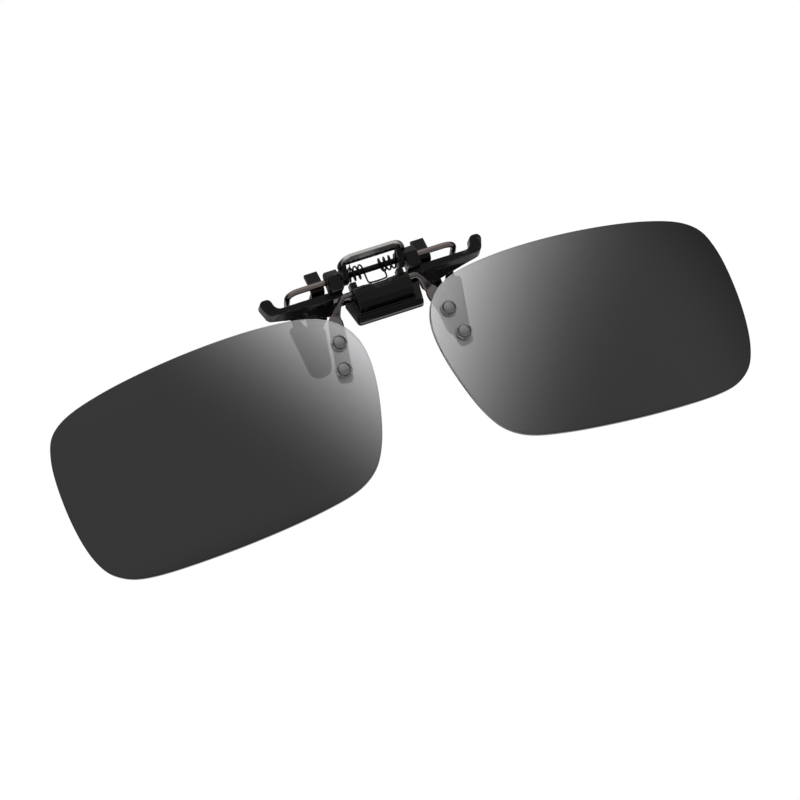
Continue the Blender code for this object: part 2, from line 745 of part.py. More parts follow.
def make_bridge_wire(finish, hinge):
    right = wire_stations()
    flip = Vector((-1.0, 1.0, 1.0))
    left = [(s[0] * flip, s[1], s[2], s[3], s[4] * flip) for s in reversed(right[1:])]
    stations = left + right
    sections = []
    for index, (place, half_width, half_thickness, squareness, facing) in enumerate(stations):
        before = stations[max(index - 1, 0)][0]
        after = stations[min(index + 1, len(stations) - 1)][0]
        along = (after - before).normalized()
        sections.append(wire_ring(place, along, half_width, half_thickness, squareness, facing))
    bm = loft(sections)
    for side in (-1, 1):
        for out, up in rivet_places().values():
            bm = combine(bm, rivet_hole(side, out, up), "DIFFERENCE")
    return link("bridge_wire", mesh_from(bm, "bridge_wire"), finish, hinge)


def body_rivet_ends(side):
    """Rear and front ends of a rivet that joins the hinge block to the arm plate."""
    rear = Vector((side * BODY_RIVET_X, -GAP, BODY_RIVET_Z))
    front = Vector((side * BODY_RIVET_X, -ARM_DEPTH - BODY_RIVET_DEPTH, BODY_RIVET_Z))
    return rear, front


def arm_slope(across, up):
    """How far a point of the arm plate's outline drops at the rear: only along its lower edge."""
    if up > ARM_SLOPE_TOP_SHARE * HOOK_TOP:
        return 0.0
    share = abs(across) / ARM_REACH
    for (near, first), (far, last) in zip(ARM_SLOPE_SHARES, ARM_SLOPE_SHARES[1:]):
        if near <= share <= far:
            return HOOK_TOP * (first + (last - first) * (share - near) / (far - near))
    return 0.0


def arm_point(a, b, depth):
    """Point of the arm plate at a depth from its rear face, where its lower edge slopes down."""
    return Vector((a, depth, b - arm_slope(a, b) * (1.0 + depth / ARM_DEPTH)))


def make_arm_plate(finish):
    corners = [(x * ARM_REACH, z * HOOK_TOP, r * HOOK_TOP) for x, z, r in ARM_OUTLINE_SHARES]
    half = rounded([(0.0, corners[0][1], 0.0)] + corners + [(0.0, corners[-1][1], 0.0)], closed=False)
    bm = prism(mirrored(half), arm_point, -ARM_DEPTH, 0.0)
    bmesh.ops.triangulate(bm, faces=[face for face in bm.faces if len(face.verts) == 4])
    depth, height = LUG_BACK - LUG_FRONT, LUG_TOP - LUG_BOTTOM
    corners = [(LUG_FRONT + y * depth, LUG_BOTTOM + z * height, r * depth) for y, z, r in LUG_PROFILE_SHARES]
    lug = rounded(corners)
    for side in (-1, 1):
        low, high = sorted((side * LUG_INNER, side * LUG_OUTER))
        bm = combine(bm, prism(lug, along_x, low, high), "UNION")
    bm = combine(bm, axle_bore(JAW_Y, JAW_Z, LUG_OUTER + OVERRUN, ROD_RADIUS), "DIFFERENCE")
    past = Vector((0.0, OVERRUN, 0.0))
    head = Vector((0.0, BODY_RIVET_HEAD_HEIGHT + RUNNING_GAP, 0.0))
    for side in (-1, 1):
        rear, front = body_rivet_ends(side)
        bm = combine(bm, bore(rear + past, front, BODY_RIVET_RADIUS), "DIFFERENCE")
        bm = combine(bm, bore(rear + past, rear - head, BODY_RIVET_HEAD_RADIUS), "DIFFERENCE")
    return link("arm_plate", mesh_from(bm, "arm_plate"), finish)


def make_body_rivet(side, name, finish):
    rear, front = body_rivet_ends(side)
    length = (front - rear).length - GAP
    shape = [(0.0, 0.0), (BODY_RIVET_HEAD_RADIUS, 0.0), (BODY_RIVET_HEAD_RADIUS, BODY_RIVET_HEAD_HEIGHT)]
    shape += [(BODY_RIVET_RADIUS, BODY_RIVET_HEAD_HEIGHT), (BODY_RIVET_RADIUS, length), (0.0, length)]
    bm = turned(shape, ROUND_SIDES)
    turn = (front - rear).to_track_quat("Z", "Y").to_matrix().to_4x4()
    bmesh.ops.transform(bm, matrix=Matrix.Translation(rear) @ turn, verts=bm.verts)
    return link(name, mesh_from(bm, name), finish)


def front_depth(share):
    """Place along Y at a share of the block's depth in front of the arm plate."""
    return -ARM_DEPTH + (BARREL_FRONT + ARM_DEPTH) * share


def make_finger_tab():
    """Tab below the barrel that leans forwards, with a lip along its lower edge."""
    outline = rounded([
        (-TAB_BOTTOM_HALF_WIDTH, TAB_BOTTOM, TAB_THICKNESS / 2.0),
        (TAB_BOTTOM_HALF_WIDTH, TAB_BOTTOM, TAB_THICKNESS / 2.0),
        (TAB_TOP_HALF_WIDTH, TAB_TOP, 0.0), (-TAB_TOP_HALF_WIDTH, TAB_TOP, 0.0)])
    lean = [Vector((front_depth(share), z)) for share, z in zip(TAB_LEAN_SHARES, (TAB_TOP, TAB_BOTTOM))]
    sheet = folded_sheet(outline, lean, -TAB_THICKNESS / 2.0, TAB_THICKNESS / 2.0)
    lip = prism(block_profile(LIP_PROFILE_SHARES), along_x, -LIP_HALF_WIDTH, LIP_HALF_WIDTH)
    lip = combine(lip, prism(outline, along_y, BARREL_FRONT - OVERRUN, 0.0), "INTERSECT")
    return combine(sheet, lip, "UNION")


def block_profile(shares):
    """Outline seen along X from shares of the block's depth and of the barrel's height."""
    depth = -BARREL_FRONT - ARM_DEPTH
    return rounded([(front_depth(y), z * BARREL_TOP, r * depth) for y, z, r in shares])


def make_hinge_block(finish):
    bm = prism(block_profile(BARREL_PROFILE_SHARES), along_x, -BARREL_HALF_WIDTH, BARREL_HALF_WIDTH)
    bm = combine(bm, make_finger_tab(), "UNION")
    for side in (-1, 1):
        low, high = sorted((side * SHOULDER_INNER, side * SHOULDER_OUTER))
        front = FLIP_Y
        rear = -ARM_DEPTH - GAP
        bm = combine(bm, block((low, front, BARREL_TOP / 2.0), (high, rear, SHOULDER_TOP)), "UNION")
    bm = combine(bm, axle_bore(FLIP_Y, FLIP_Z, TAB_TOP_HALF_WIDTH + OVERRUN, WIRE_RADIUS), "DIFFERENCE")
    notch_low = (-NOTCH_HALF_WIDTH, BARREL_FRONT - OVERRUN, FLIP_Z)
    notch_high = (NOTCH_HALF_WIDTH, FLIP_Y + WIRE_RADIUS + RUNNING_GAP, BARREL_TOP + OVERRUN)
    bm = combine(bm, block(notch_low, notch_high), "DIFFERENCE")
    groove_low = (-GROOVE_HALF_WIDTH, SPRING_FOOT_Y - WIRE_RADIUS, BARREL_TOP - GROOVE_DEPTH)
    groove_high = (GROOVE_HALF_WIDTH, SPRING_FOOT_Y + WIRE_RADIUS, BARREL_TOP + OVERRUN)
    bm = combine(bm, block(groove_low, groove_high), "DIFFERENCE")
    past = Vector((0.0, OVERRUN, 0.0))
    for side in (-1, 1):
        rear, front = body_rivet_ends(side)
        bm = combine(bm, bore(rear + past, front, BODY_RIVET_RADIUS), "DIFFERENCE")
    return link("hinge_block", mesh_from(bm, "hinge_block"), finish)


def make_jaw_rod(finish, hinge):
    """Rod that turns in the lugs; its ends bend back and down over the arms to the rear plate."""
    start = Vector((ROD_STRAIGHT, JAW_Y, JAW_Z))
    guide = [Vector((0.0, JAW_Y, JAW_Z)), start]
    for across, back, down in ROD_END_SHARES:
        guide.append(start + Vector((ROD_END_REACH * across, ROD_END_BACK * back, -ROD_END_DROP * down)))
    right = smooth_run(guide[1:], 3)
    left = [Vector((-p.x, p.y, p.z)) for p in reversed(right)]
    return tube("jaw_rod", left + right, ROD_RADIUS, 3, finish, hinge)


def jaw_profile():
    """Side profile of the rear plate's middle, from its top to the tips of the prongs."""
    depth = -PRONG_BOTTOM
    return [Vector((back * depth, up * depth)) for back, up in JAW_PROFILE_SHARES]


def make_rear_plate(finish, hinge):
    depth = -PRONG_BOTTOM
    corners = [(x * JAW_REACH, z * depth, r * JAW_REACH) for x, z, r in JAW_PLATE_SHARES]
    half = rounded([(0.0, corners[0][1], 0.0)] + corners + [(0.0, corners[-1][1], 0.0)], closed=False)
    bm = folded_sheet(mirrored(half), jaw_profile(), -JAW_SHEET / 2.0, JAW_SHEET / 2.0)
    path = rounded([(y * depth, z * depth, r * depth) for y, z, r in JAW_LEG_SHARES], closed=False)
    for side in (-1, 1):
        low, high = sorted((side * JAW_LEG_INNER, side * JAW_LEG_OUTER))
        bm = combine(bm, folded_strip(path, low, high, JAW_SHEET), "UNION")
    return link("rear_plate", mesh_from(bm, "rear_plate"), finish, hinge)


def make_sleeve(side, name, finish, hinge):
    """Soft sleeve over a prong: a tapered flat pad with a pocket that is open at the top."""
    depth = -SLEEVE_BOTTOM
    corners = [(side * x * SLEEVE_REACH, z * depth, r * SLEEVE_REACH) for x, z, r in SLEEVE_OUTLINE_SHARES]
    bm = folded_sheet(rounded(corners), jaw_profile(), -SLEEVE_THICKNESS / 2.0, SLEEVE_THICKNESS / 2.0)
    inside = []
    for index, away, down in PRONG_POCKET:
        x, z, radius = JAW_PLATE_SHARES[index]
        place = side * (x * JAW_REACH + GAP * away)
        inside.append((place, -z * PRONG_BOTTOM - GAP * down, radius * JAW_REACH * down))
    pocket = rounded(inside)
    half = JAW_SHEET / 2.0 + GAP
    bm = combine(bm, folded_sheet(pocket, jaw_profile(), -half, half), "DIFFERENCE")
    return link(name, mesh_from(bm, name), finish, hinge)


def pad_height(y):
    """Height of the thumb pad's middle: it slopes down towards the wearer."""
    share = (y - LEVER_FRONT_Y) / (LEVER_REAR_Y - LEVER_FRONT_Y)
    return LEVER_FRONT_Z + (LEVER_REAR_Z - LEVER_FRONT_Z) * share


def pad_section(back_share, width_share):
    """Ring round the thumb pad at a share of the way back from its front edge: a sheet whose
    side flanges turn down and deepen towards the wearer."""
    y = LEVER_FRONT_Y + (LEVER_REAR_Y - LEVER_FRONT_Y) * back_share
    half = []
    for across, sheet, flange in PAD_SECTION_SHARES:
        down = LEVER_SHEET * (sheet - 1.0 / 2.0) + (LEVER_FLANGE - LEVER_SHEET) * back_share * flange
        half.append(Vector((across * width_share * LEVER_HALF_WIDTH, pad_height(y) - down)))
    return [Vector((point.x, y, point.y)) for point in mirrored(half)]


def make_thumb_lever(finish, hinge):
    bm = loft([pad_section(back, width) for back, width in PAD_PLAN_SHARES])
    corners = []
    for y, z, radius in EAR_PROFILE_SHARES:
        corners.append((JAW_Y + y * EAR_RADIUS, JAW_Z + z * EAR_RADIUS, radius * EAR_RADIUS))
    ear = rounded(corners)
    for side in (-1, 1):
        low, high = sorted((side * EAR_INNER, side * EAR_OUTER))
        bm = combine(bm, prism(ear, along_x, low, high), "UNION")
    bm = combine(bm, axle_bore(JAW_Y, JAW_Z, EAR_OUTER + OVERRUN, ROD_RADIUS), "DIFFERENCE")
    return link("thumb_lever", mesh_from(bm, "thumb_lever"), finish, hinge)


def tangent_turns(y, z):
    """The two angles about the rod at which a straight leg from one place can meet the coil."""
    away = Vector((y - JAW_Y, z - JAW_Z))
    base = math.atan2(away.y, away.x)
    swing = math.acos(SPRING_COIL_RADIUS / away.length)
    return base - swing, base + swing


def spring_points():
    """Right half of the spring, from its tip under the thumb pad round the coil to the cross leg."""
    tip_z = pad_height(SPRING_TIP_Y) - LEVER_SHEET / 2.0 - 2.0 * GAP - SPRING_WIRE_RADIUS
    cross_z = BARREL_TOP - GROOVE_DEPTH + RUNNING_GAP + SPRING_WIRE_RADIUS
    whole = 2.0 * math.pi
    start = tangent_turns(SPRING_TIP_Y, tip_z)[1]
    end = tangent_turns(SPRING_FOOT_Y, cross_z)[0]
    while end < start + whole * SPRING_WHOLE_TURNS:
        end += whole
    steps = round((end - start) / whole * SPRING_POINTS_PER_TURN)
    points = [Vector((SPRING_OUTER, SPRING_TIP_Y, tip_z))]
    for step in range(steps + 1):
        share = step / steps
        turn = start + (end - start) * share
        across = SPRING_OUTER + (SPRING_INNER - SPRING_OUTER) * share
        spoke = Vector((0.0, math.cos(turn), math.sin(turn))) * SPRING_COIL_RADIUS
        points.append(Vector((across, JAW_Y, JAW_Z)) + spoke)
    foot = Vector((SPRING_FOOT, SPRING_FOOT_Y, cross_z))
    points.append(foot + (points[-1] - foot).normalized() * SPRING_BEND_RADIUS)
    points.append(foot - Vector((SPRING_BEND_RADIUS, 0.0, 0.0)))
    return points


def print_spring_gap(points):
    """Least gap between parts of the spring's wire that aren't neighbours along it."""
    fine = []
    for first, second in zip(points, points[1:]):
        fine.extend(first.lerp(second, step / 4) for step in range(4))
    reach = math.pi * SPRING_COIL_RADIUS
    walked = [0.0]
    for first, second in zip(fine, fine[1:]):
        walked.append(walked[-1] + (second - first).length)
    least = min((fine[a] - fine[b]).length for a in range(len(fine)) for b in range(a)
                if walked[a] - walked[b] > reach)
    gap = (least - 2.0 * SPRING_WIRE_RADIUS) * 1000.0
    print("least gap of the torsion spring to itself, mm:", round(gap, 3))


def make_torsion_spring(finish):
    right = spring_points()
    left = [Vector((-p.x, p.y, p.z)) for p in right]
    points = left + list(reversed(right))
    print_spring_gap(points)
    return tube("torsion_spring", points, SPRING_WIRE_RADIUS, 1, finish)


def main():
    clear_scene()
    black = material("black_lacquered_metal", (0.012, 0.012, 0.013), 0.32, 1.0)
    gunmetal = material("polished_gunmetal", (0.22, 0.22, 0.23), 0.16, 1.0)
    bronze = material("dark_bronze_wire", (0.16, 0.12, 0.10), 0.25, 1.0)
    tint = material("grey_tinted_lens", (0.035, 0.035, 0.037), 0.04)
    silicone = material("smoky_silicone", (0.20, 0.19, 0.20), 0.45)
    nylon = material("clear_nylon", (0.70, 0.70, 0.70), 0.30)
    steel = material("rivet_steel", (0.25, 0.23, 0.22), 0.22, 1.0)

    flip_hinge = hinge_empty("flip_hinge", FLIP_Y, FLIP_Z)
    jaw_hinge = hinge_empty("jaw_hinge", JAW_Y, JAW_Z)

    make_arm_plate(black)
    make_hinge_block(black)
    for side, word in ((-1, "left"), (1, "right")):
        make_body_rivet(side, f"body_rivet_{word}", steel)
    make_torsion_spring(bronze)

    make_jaw_rod(bronze, jaw_hinge)
    make_rear_plate(black, jaw_hinge)
    make_thumb_lever(gunmetal, jaw_hinge)
    for side, word in ((-1, "left"), (1, "right")):
        make_sleeve(side, f"prong_sleeve_{word}", silicone, jaw_hinge)

    make_bridge_wire(bronze, flip_hinge)
    for side, word in ((-1, "left"), (1, "right")):
        make_lens(side, f"lens_{word}", tint, flip_hinge)
        for level in ("upper", "lower"):
            make_rivet(side, level, f"lens_rivet_{level}_{word}", steel, flip_hinge)
            make_washer(side, level, f"lens_washer_{level}_{word}", nylon, flip_hinge)


main()
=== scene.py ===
# %% [markdown]
# # Flip-up clip-on sunglasses
# This lesson dresses a small sprung clip with two rimless tinted lenses. The clip's working parts
# come in as a fixed frame of solids, and every visible piece made here rides on one of its bodies,
# so the lenses still flip up and the jaw still opens once it all looks like metal and glass.

# %% Load the fixed frame
import math

import bmesh
import bpy
from mathutils import Matrix, Vector


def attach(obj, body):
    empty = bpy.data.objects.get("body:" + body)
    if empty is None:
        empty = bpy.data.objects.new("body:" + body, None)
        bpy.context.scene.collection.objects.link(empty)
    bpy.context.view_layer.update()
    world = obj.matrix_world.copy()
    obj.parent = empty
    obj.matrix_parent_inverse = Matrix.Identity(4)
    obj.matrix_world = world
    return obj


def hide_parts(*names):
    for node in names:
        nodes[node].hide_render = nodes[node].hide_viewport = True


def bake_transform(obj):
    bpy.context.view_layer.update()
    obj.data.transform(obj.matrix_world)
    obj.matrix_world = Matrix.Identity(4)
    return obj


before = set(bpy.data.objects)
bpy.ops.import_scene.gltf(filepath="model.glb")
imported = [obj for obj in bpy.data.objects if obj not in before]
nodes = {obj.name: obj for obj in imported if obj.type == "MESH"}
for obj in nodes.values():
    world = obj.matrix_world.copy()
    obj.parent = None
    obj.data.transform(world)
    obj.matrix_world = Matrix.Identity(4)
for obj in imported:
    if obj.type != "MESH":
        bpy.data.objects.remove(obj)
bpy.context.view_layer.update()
print("frame nodes:", len(nodes))

# %% [markdown]
# ## Where the camera stands
# The photograph was taken with a long lens, from in front, a little to the left and from below,
# with the camera rolled so that the lenses climb to the right. A constraint could aim a camera at
# the clip, but here three directions do it, right, up and backwards, which are the columns of its
# rotation matrix. That fixes the roll as well, and the view stays exact.

# %% Camera
CAMERA_PLACE = Vector((-0.3309114, -1.2875272, -0.3415493))
CAMERA_RIGHT = Vector((0.92432083, -0.14706075, -0.35214222))
CAMERA_AHEAD = Vector((0.23992171, 0.94152912, 0.23655968))
CAMERA_UP = Vector((0.29676351, -0.30314360, 0.90555805))
FOCAL_LENGTH_MM, SENSOR_WIDTH_MM = 360.0, 36.0
VIEW_START, VIEW_END = 0.01, 20.0


def add_camera():
    lens_data = bpy.data.cameras.new("photo_camera")
    lens_data.lens = FOCAL_LENGTH_MM
    lens_data.sensor_width = SENSOR_WIDTH_MM
    lens_data.clip_start = VIEW_START
    lens_data.clip_end = VIEW_END
    camera = bpy.data.objects.new("photo_camera", lens_data)
    turn = Matrix((CAMERA_RIGHT, CAMERA_UP, -CAMERA_AHEAD)).transposed().to_4x4()
    camera.matrix_world = Matrix.Translation(CAMERA_PLACE) @ turn
    bpy.context.collection.objects.link(camera)
    bpy.context.scene.camera = camera
    return camera


camera = add_camera()
print("camera to object, m:", round(camera.location.length, 3))

# %% [markdown]
# ## Small helpers for shader nodes
# A material is a little graph. Three short helpers keep the recipes readable: one adds a node and
# sets its sockets by name or by number, one does a sum with a math node, and one makes an empty
# node group with named sockets, so that an effect that several finishes share is built once.

# %% Node helpers
FLOAT, COLOUR = "NodeSocketFloat", "NodeSocketColor"


def add_node(tree, kind, settings=None, **sockets):
    """Node with its settings and sockets set; i0, i1 and so on are sockets by number."""
    node = tree.nodes.new(kind)
    for name, value in (settings or {}).items():
        setattr(node, name, value)
    for name, value in sockets.items():
        place = int(name[1:]) if name[0] == "i" and name[1:].isdigit() else name.replace("_", " ")
        if isinstance(value, bpy.types.NodeSocket):
            tree.links.new(value, node.inputs[place])
        else:
            node.inputs[place].default_value = value
    return node


def calculate(tree, operation, *values):
    """Result of a math node on one to three values or sockets."""
    sockets = {"i" + str(place): value for place, value in enumerate(values)}
    return add_node(tree, "ShaderNodeMath", {"operation": operation}, **sockets).outputs[0]


def new_group(name, inputs, outputs):
    tree = bpy.data.node_groups.new(name, "ShaderNodeTree")
    for label, kind, value in inputs:
        socket = tree.interface.new_socket(label, in_out="INPUT", socket_type=kind)
        socket.default_value = value
    for label, kind in outputs:
        tree.interface.new_socket(label, in_out="OUTPUT", socket_type=kind)
    return tree, tree.nodes.new("NodeGroupInput"), tree.nodes.new("NodeGroupOutput")


print("kinds of group sockets:", FLOAT, COLOUR)

# %% [markdown]
# ## Grain and smears
# Lacquer, wire and silicone all carry a fine grain: a noise in object coordinates whose height
# feeds a bump and which varies the roughness. Handling also leaves soft smears, a broad and faint
# noise that changes gloss rather than colour. Painted textures would tie both to one picture, so
# they are a node group instead, with sizes in metres that each finish sets for itself.

# %% Grain and smears
GRAIN_DETAIL, SMEAR_DETAIL = 3.0, 2.0
NOISE_MIDDLE = 0.5


def build_surface_grain():
    inputs = [("Grain Size", FLOAT, 0.0002), ("Smear Size", FLOAT, 0.006), ("Roughness", FLOAT, 0.3),
              ("Grain Spread", FLOAT, 0.04), ("Smear Spread", FLOAT, 0.05)]
    outputs = [("Roughness", FLOAT), ("Height", FLOAT), ("Smear", FLOAT)]
    tree, given, result = new_group("surface_grain", inputs, outputs)
    place = add_node(tree, "ShaderNodeTexCoord").outputs["Object"]
    roughness = given.outputs["Roughness"]
    for label, detail, output in (("Grain", GRAIN_DETAIL, "Height"), ("Smear", SMEAR_DETAIL, "Smear")):
        scale = calculate(tree, "DIVIDE", 1.0, given.outputs[label + " Size"])
        noise = add_node(tree, "ShaderNodeTexNoise", Vector=place, Scale=scale, Detail=detail).outputs["Fac"]
        centred = calculate(tree, "SUBTRACT", noise, NOISE_MIDDLE)
        roughness = calculate(tree, "MULTIPLY_ADD", centred, given.outputs[label + " Spread"], roughness)
        tree.links.new(noise, result.inputs[output])
    tree.links.new(roughness, result.inputs["Roughness"])
    return tree


surface_grain = build_surface_grain()
print("shared effect:", surface_grain.name)

# %% [markdown]
# ## Worn and highlit edges
# Lacquer rubs thin along raised edges first, and its rounded edges catch the light, so this edge
# colour is partly wear and partly painted highlight: it draws thin light lines along the edges.
# Pointiness tells how sharply a surface bends outwards, and a ramp turns it into a mask of the
# edges. A noise breaks the mask up, because wear is never an even line. This is a group too, as
# every metal finish uses it.

# %% Worn and highlit edges
PATCH_SCALE, PATCH_DETAIL = 900.0, 3.0
PATCH_START, PATCH_END = 0.35, 0.65


def build_worn_edges():
    """Colour that changes at edges, partly where a finish has rubbed thin and partly as painted highlight,
    broken up by noise.
    """
    inputs = [("Base", COLOUR, (0.0, 0.0, 0.0, 1.0)), ("Worn", COLOUR, (0.1, 0.1, 0.1, 1.0)),
              ("Start", FLOAT, 0.507), ("End", FLOAT, 0.545), ("Strength", FLOAT, 0.5)]
    tree, given, result = new_group("worn_and_highlit_edges", inputs, [("Color", COLOUR)])
    place = add_node(tree, "ShaderNodeTexCoord").outputs["Object"]
    bent = add_node(tree, "ShaderNodeNewGeometry").outputs["Pointiness"]
    edge = add_node(tree, "ShaderNodeMapRange", {"interpolation_type": "SMOOTHSTEP"}, Value=bent,
                    From_Min=given.outputs["Start"], From_Max=given.outputs["End"])
    patchy = add_node(tree, "ShaderNodeTexNoise", Vector=place, Scale=PATCH_SCALE, Detail=PATCH_DETAIL)
    broken = add_node(tree, "ShaderNodeMapRange", Value=patchy.outputs["Fac"], From_Min=PATCH_START,
                      From_Max=PATCH_END)
    both = calculate(tree, "MULTIPLY", edge.outputs["Result"], broken.outputs["Result"])
    mask = calculate(tree, "MULTIPLY", both, given.outputs["Strength"])
    mixed = add_node(tree, "ShaderNodeMix", {"data_type": "RGBA"}, i0=mask, i6=given.outputs["Base"],
                     i7=given.outputs["Worn"])
    tree.links.new(mixed.outputs[2], result.inputs["Color"])
    return tree


worn_and_highlit_edges = build_worn_edges()
print("shared effect:", worn_and_highlit_edges.name)

# %% [markdown]
# ## Metal finishes
# The clip is metal under black lacquer, the wires are dark bronze, the thumb lever is dark
# chrome. Each could be a material of its own, but one maker function covers them, because they
# differ in numbers and not in kind. Numbers that are the same all over sit on the shader's own
# sockets.

# %% Metal finishes
BUMP_DISTANCE = 0.0001
METAL_GRAIN_SPREAD = 0.05


def new_material(name):
    material = bpy.data.materials.new(name)
    material.use_nodes = True
    tree = material.node_tree
    return material, tree, tree.nodes["Principled BSDF"]


def link_surface(tree, shader, colour, grain, bump):
    """Give a shader its colour, and its roughness and bump from the grain."""
    bumped = add_node(tree, "ShaderNodeBump", Strength=bump, Distance=BUMP_DISTANCE,
                      Height=grain.outputs["Height"])
    tree.links.new(colour, shader.inputs["Base Color"])
    tree.links.new(grain.outputs["Roughness"], shader.inputs["Roughness"])
    tree.links.new(bumped.outputs["Normal"], shader.inputs["Normal"])


def coated_metal(name, colour, worn, roughness, metallic, specular=0.5, bump=0.02, wear_and_highlight=0.5):
    material, tree, shader = new_material(name)
    grain = add_node(tree, "ShaderNodeGroup", {"node_tree": surface_grain}, Roughness=roughness,
                     Grain_Spread=METAL_GRAIN_SPREAD)
    edges = add_node(tree, "ShaderNodeGroup", {"node_tree": worn_and_highlit_edges}, Base=(*colour, 1.0),
                     Worn=(*worn, 1.0), Strength=wear_and_highlight)
    link_surface(tree, shader, edges.outputs["Color"], grain, bump)
    shader.inputs["Metallic"].default_value = metallic
    shader.inputs["Specular IOR Level"].default_value = specular
    return material


# The lacquer's lighter edge colour is mostly painted highlight along its rounded edges, with a little real
# wear.
black_lacquer = coated_metal("black_lacquer", (0.0024, 0.0022, 0.0021), (0.055, 0.050, 0.047), 0.24, 0.0,
                             specular=0.12, bump=0.15, wear_and_highlight=0.9)
bronze_wire = coated_metal("bronze_wire", (0.150, 0.126, 0.118), (0.20, 0.17, 0.16), 0.16, 1.0, wear_and_highlight=0.0)
strap_wire = coated_metal("strap_wire", (0.105, 0.096, 0.092), (0.16, 0.15, 0.14), 0.18, 1.0, wear_and_highlight=0.0)
spring_wire = coated_metal("spring_wire", (0.015, 0.0145, 0.014), (0.03, 0.03, 0.03), 0.24, 1.0, wear_and_highlight=0.0)
dark_chrome = coated_metal("dark_chrome", (0.42, 0.41, 0.40), (0.45, 0.45, 0.45), 0.30, 1.0, bump=0.03)
rivet_steel = coated_metal("rivet_steel", (0.19, 0.185, 0.185), (0.26, 0.25, 0.25), 0.36, 1.0, wear_and_highlight=0.0)
print("metal finishes:", black_lacquer.name, bronze_wire.name, dark_chrome.name)

# %% [markdown]
# ## Silicone and nylon
# The prong sleeves are smoky soft silicone that keeps them from scratching the glasses, and a
# clear nylon washer sits under each rivet head. Light soaks into the silicone, so it uses a little
# subsurface scattering, which is cheap and right for a cloudy plastic. The washer is clear, so
# the strap shows through it and only its rounded edges catch the light.

# %% Soft plastics
SOFT_IOR, CLEAR_IOR = 1.45, 1.12
SOFT_GRAIN = {"Grain_Size": 0.0003, "Smear_Size": 0.004, "Smear_Spread": 0.12}
DARKER_SHARE, LIGHTER_SHARE = 0.9, 1.1
SCATTER_RADIUS, SCATTER_SCALE = (1.0, 0.9, 0.9), 0.0006


def soft_plastic(name, colour, roughness, scatter, clear=0.0, bump=0.1):
    material, tree, shader = new_material(name)
    grain = add_node(tree, "ShaderNodeGroup", {"node_tree": surface_grain}, Roughness=roughness, **SOFT_GRAIN)
    darker, lighter = ((*[part * share for part in colour], 1.0) for share in (DARKER_SHARE, LIGHTER_SHARE))
    tinted = add_node(tree, "ShaderNodeMix", {"data_type": "RGBA"}, i0=grain.outputs["Smear"], i6=darker,
                      i7=lighter)
    link_surface(tree, shader, tinted.outputs[2], grain, bump)
    shader.inputs["Transmission Weight"].default_value = clear
    shader.inputs["IOR"].default_value = CLEAR_IOR if clear else SOFT_IOR
    shader.inputs["Subsurface Weight"].default_value = scatter
    shader.inputs["Subsurface Radius"].default_value = SCATTER_RADIUS
    shader.inputs["Subsurface Scale"].default_value = SCATTER_SCALE
    return material


smoky_silicone = soft_plastic("smoky_silicone", (0.26, 0.25, 0.26), 0.45, 0.3)
clear_nylon = soft_plastic("clear_nylon", (0.80, 0.80, 0.81), 0.20, 0.0, clear=0.85, bump=0.03)
print("soft plastics:", smoky_silicone.name, clear_nylon.name)

# %% [markdown]
# ## Fading tint with a painted reflection
# The lenses are thin neutral grey sheets. Their tint is nearly opaque, and towards the nose the
# colour fades to pale as a painted reflection of a large soft light; there the clip's straps show
# through. The fade is a slanted ramp in object coordinates, mirrored for the two lenses, so it
# belongs to the lens and not to the view.

# %% Fading tint
def build_tint_fade():
    """Tint that lightens from a slanted line towards the nose, as a painted reflection of a soft light."""
    inputs = [("Dark", COLOUR, (0.0, 0.0, 0.0, 1.0)), ("Light", COLOUR, (1.0, 1.0, 1.0, 1.0)),
              ("Start", FLOAT, 0.0), ("End", FLOAT, 1.0), ("Slant", FLOAT, 0.67), ("Power", FLOAT, 2.5)]
    tree, given, result = new_group("painted_reflection_fade", inputs, [("Color", COLOUR), ("Fade", FLOAT)])
    place = add_node(tree, "ShaderNodeTexCoord").outputs["Object"]
    parts = add_node(tree, "ShaderNodeSeparateXYZ", Vector=place)
    out = calculate(tree, "ABSOLUTE", parts.outputs["X"])
    lean = calculate(tree, "MULTIPLY", parts.outputs["Z"], given.outputs["Slant"])
    along = calculate(tree, "SUBTRACT", out, lean)
    share = add_node(tree, "ShaderNodeMapRange", Value=along, From_Min=given.outputs["Start"],
                     From_Max=given.outputs["End"])
    curve = calculate(tree, "POWER", share.outputs["Result"], given.outputs["Power"])
    mixed = add_node(tree, "ShaderNodeMix", {"data_type": "RGBA"}, i0=curve, i6=given.outputs["Dark"],
                     i7=given.outputs["Light"])
    tree.links.new(mixed.outputs[2], result.inputs["Color"])
    tree.links.new(curve, result.inputs["Fade"])
    return tree


painted_reflection_fade = build_tint_fade()
print("shared effect:", painted_reflection_fade.name)

# %% [markdown]
# ## Lens finishes
# A lens is coloured glass, so its shader transmits light and takes the fading tint as its colour,
# its painted reflection included. A soft coat over the pale part adds a painted sheen on the nose
# side. The rim of a real lens looks black, since the tint is seen through its whole width there,
# so it is plain and dark.

# %% Lens finishes
# The pale colour at the nose is a painted reflection of a large soft light, not a tint of the lens.
TINT_DARK, PAINTED_REFLECTION_TINT, TINT_POWER = (0.004, 0.004, 0.0045, 1.0), (0.42, 0.42, 0.435, 1.0), 4.0
LENS_GRAIN = {"Roughness": 0.02, "Grain_Spread": 0.01, "Smear_Size": 0.012, "Smear_Spread": 0.02}
LENS_IOR, LENS_COAT_IOR, LENS_COAT_ROUGHNESS = 1.45, 3.2, 0.25


